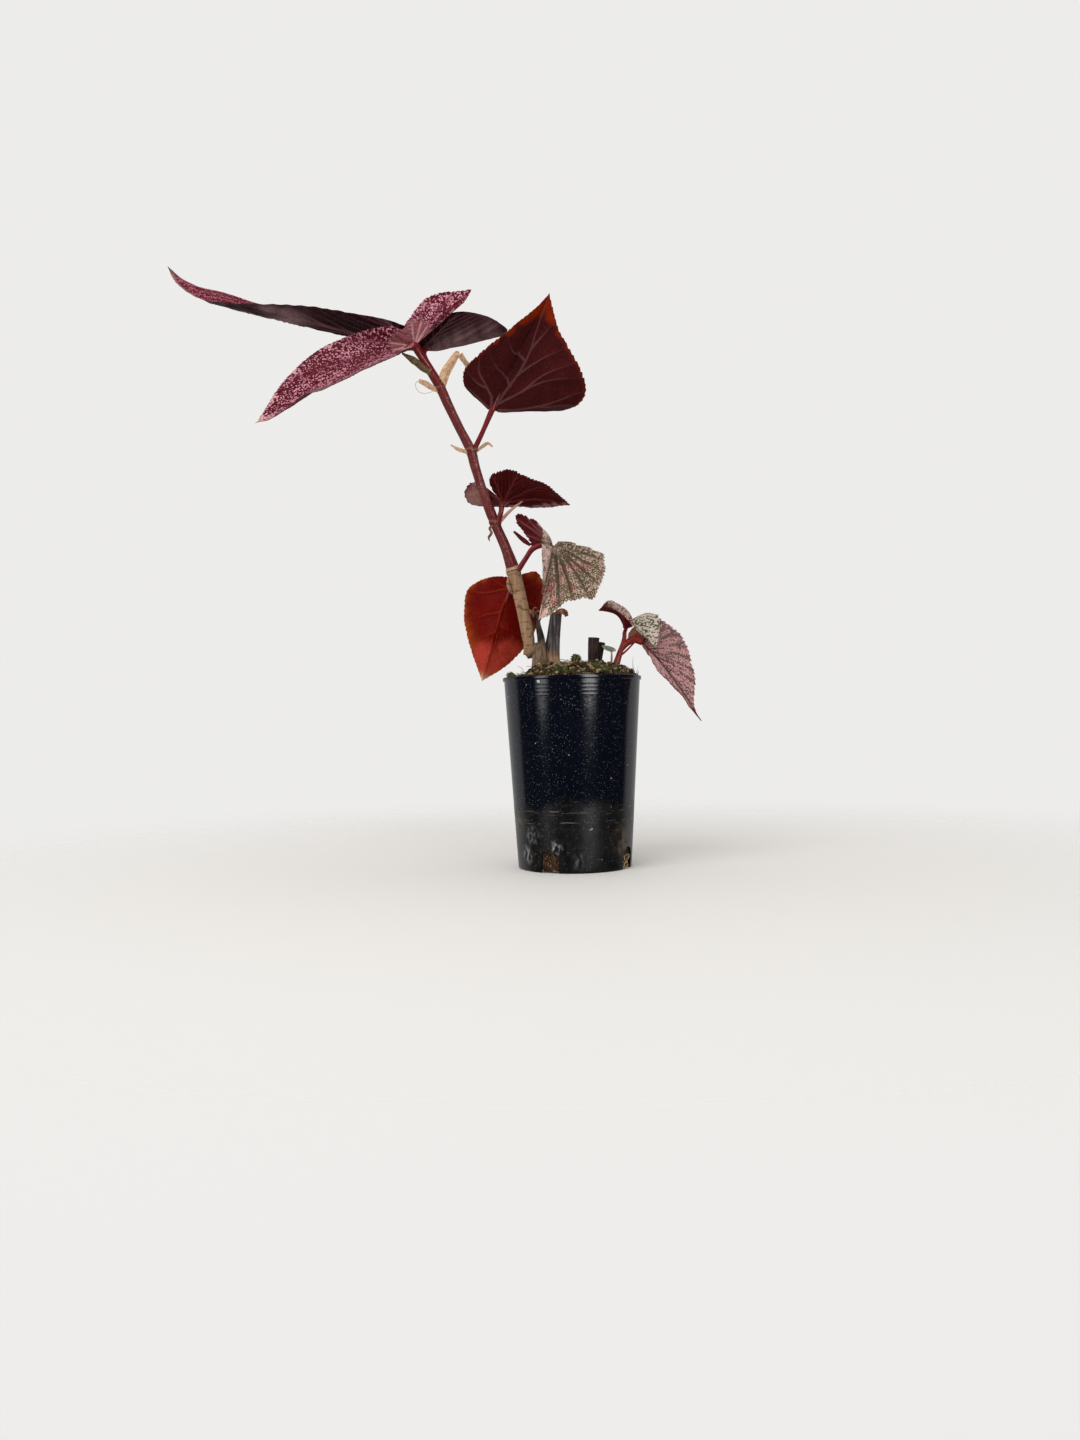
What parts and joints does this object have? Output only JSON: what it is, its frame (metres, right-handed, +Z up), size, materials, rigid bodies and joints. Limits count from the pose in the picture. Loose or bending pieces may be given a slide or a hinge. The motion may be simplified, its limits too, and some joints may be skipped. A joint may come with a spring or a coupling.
{
  "type": "potted begonia",
  "caption": "Red-caned begonia with pink and silver speckled leaves, dark wine-red beneath, in a deep black plastic nursery pot.",
  "frame": {"origin": "middle of the flat underside of the pot, on the pot's axis, on the surface that it stands on", "axes": "+Z up along the pot's axis, +X towards the side shoot, away from the longest leaf, +Y away from the viewer of the picture"},
  "size_m": [0.3244, 0.1353, 0.3748],
  "materials": {
    "pot_plastic": "glossy, dusty near the foot",
    "soil": "matte, crumbly and fibrous",
    "cane": "satin",
    "dead_wood": "matte, weathered",
    "black_wood": "matte",
    "shoot": "satin",
    "seedling": "soft matte",
    "leaf_dark_red": "satin, veined",
    "leaf_pink": "satin, speckled and pleated",
    "leaf_wine": "satin, veined",
    "leaf_silver": "matte, speckled and pleated",
    "leaf_orange": "satin, partly translucent",
    "dry_paper": "dry and papery",
    "sheath": "satin",
    "leaf_dark_wine": "satin, veined",
    "leaf_pale": "matte, netted with silver",
    "leaf_rose": "matte, quilted and netted"
  },
  "bodies": {
    "root": {"nursery_pot": "pot_plastic", "potting_soil": "soil", "main_cane": "cane", "grey_stub": "dead_wood", "black_stub": "black_wood", "side_shoot": "shoot", "seedling": "seedling", "leaf_long": "leaf_dark_red", "leaf_pink": "leaf_pink", "leaf_red_upper": "leaf_wine", "leaf_red_middle": "leaf_dark_wine", "leaf_silver": "leaf_silver", "leaf_orange": "leaf_orange", "leaf_small": "leaf_pale", "leaf_drooping": "leaf_rose", "stipule_top_left": "dry_paper", "stipule_top_right": "dry_paper", "stipule_mid_left": "dry_paper", "stipule_mid_right": "dry_paper", "stipule_low": "dry_paper", "shoot_scale": "dry_paper", "bud_sheath": "sheath"}
  },
  "joints": []
}
